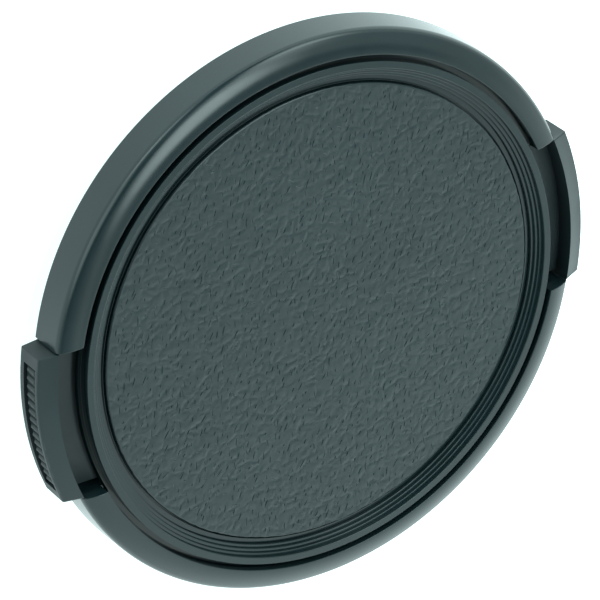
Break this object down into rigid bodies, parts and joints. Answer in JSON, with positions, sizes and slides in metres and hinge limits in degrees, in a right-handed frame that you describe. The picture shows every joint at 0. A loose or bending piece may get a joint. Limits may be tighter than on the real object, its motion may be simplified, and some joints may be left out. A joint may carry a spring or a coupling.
{
  "type": "camera lens cap",
  "caption": "Round black plastic lens cap with a grained front plate and sprung side-pinch sliders whose ridged jaws grip the inside of a lens filter thread.",
  "frame": {"origin": "centre of the rear face of the boss, on which the cap lies", "axes": "+Z out of the front face, +X through the pinch pads"},
  "size_m": [0.0638, 0.0608, 0.0068],
  "materials": {
    "ring_plastic": "glossy moulded black",
    "plate_plastic": "satin moulded black with a leather grain",
    "slider_plastic": "semi-gloss moulded black",
    "spring_steel": "bright drawn wire"
  },
  "bodies": {
    "cap": {"body": "ring_plastic", "front_plate": "plate_plastic", "spring_left_a": "spring_steel", "spring_left_b": "spring_steel", "spring_right_a": "spring_steel", "spring_right_b": "spring_steel"},
    "left_slider": {"slider_left": "slider_plastic"},
    "right_slider": {"slider_right": "slider_plastic"}
  },
  "joints": [
    {"name": "left_pinch", "type": "slide", "parent": "cap", "child": "left_slider", "axis": [1, 0, 0], "range_m": [0, 0.0016], "stiffness_N_per_m": 600, "springref_m": -0.003, "deforming": ["spring_left_a", "spring_left_b"]},
    {"name": "right_pinch", "type": "slide", "parent": "cap", "child": "right_slider", "axis": [-1, 0, 0], "range_m": [0, 0.0016], "stiffness_N_per_m": 600, "springref_m": -0.003, "deforming": ["spring_right_a", "spring_right_b"]}
  ]
}
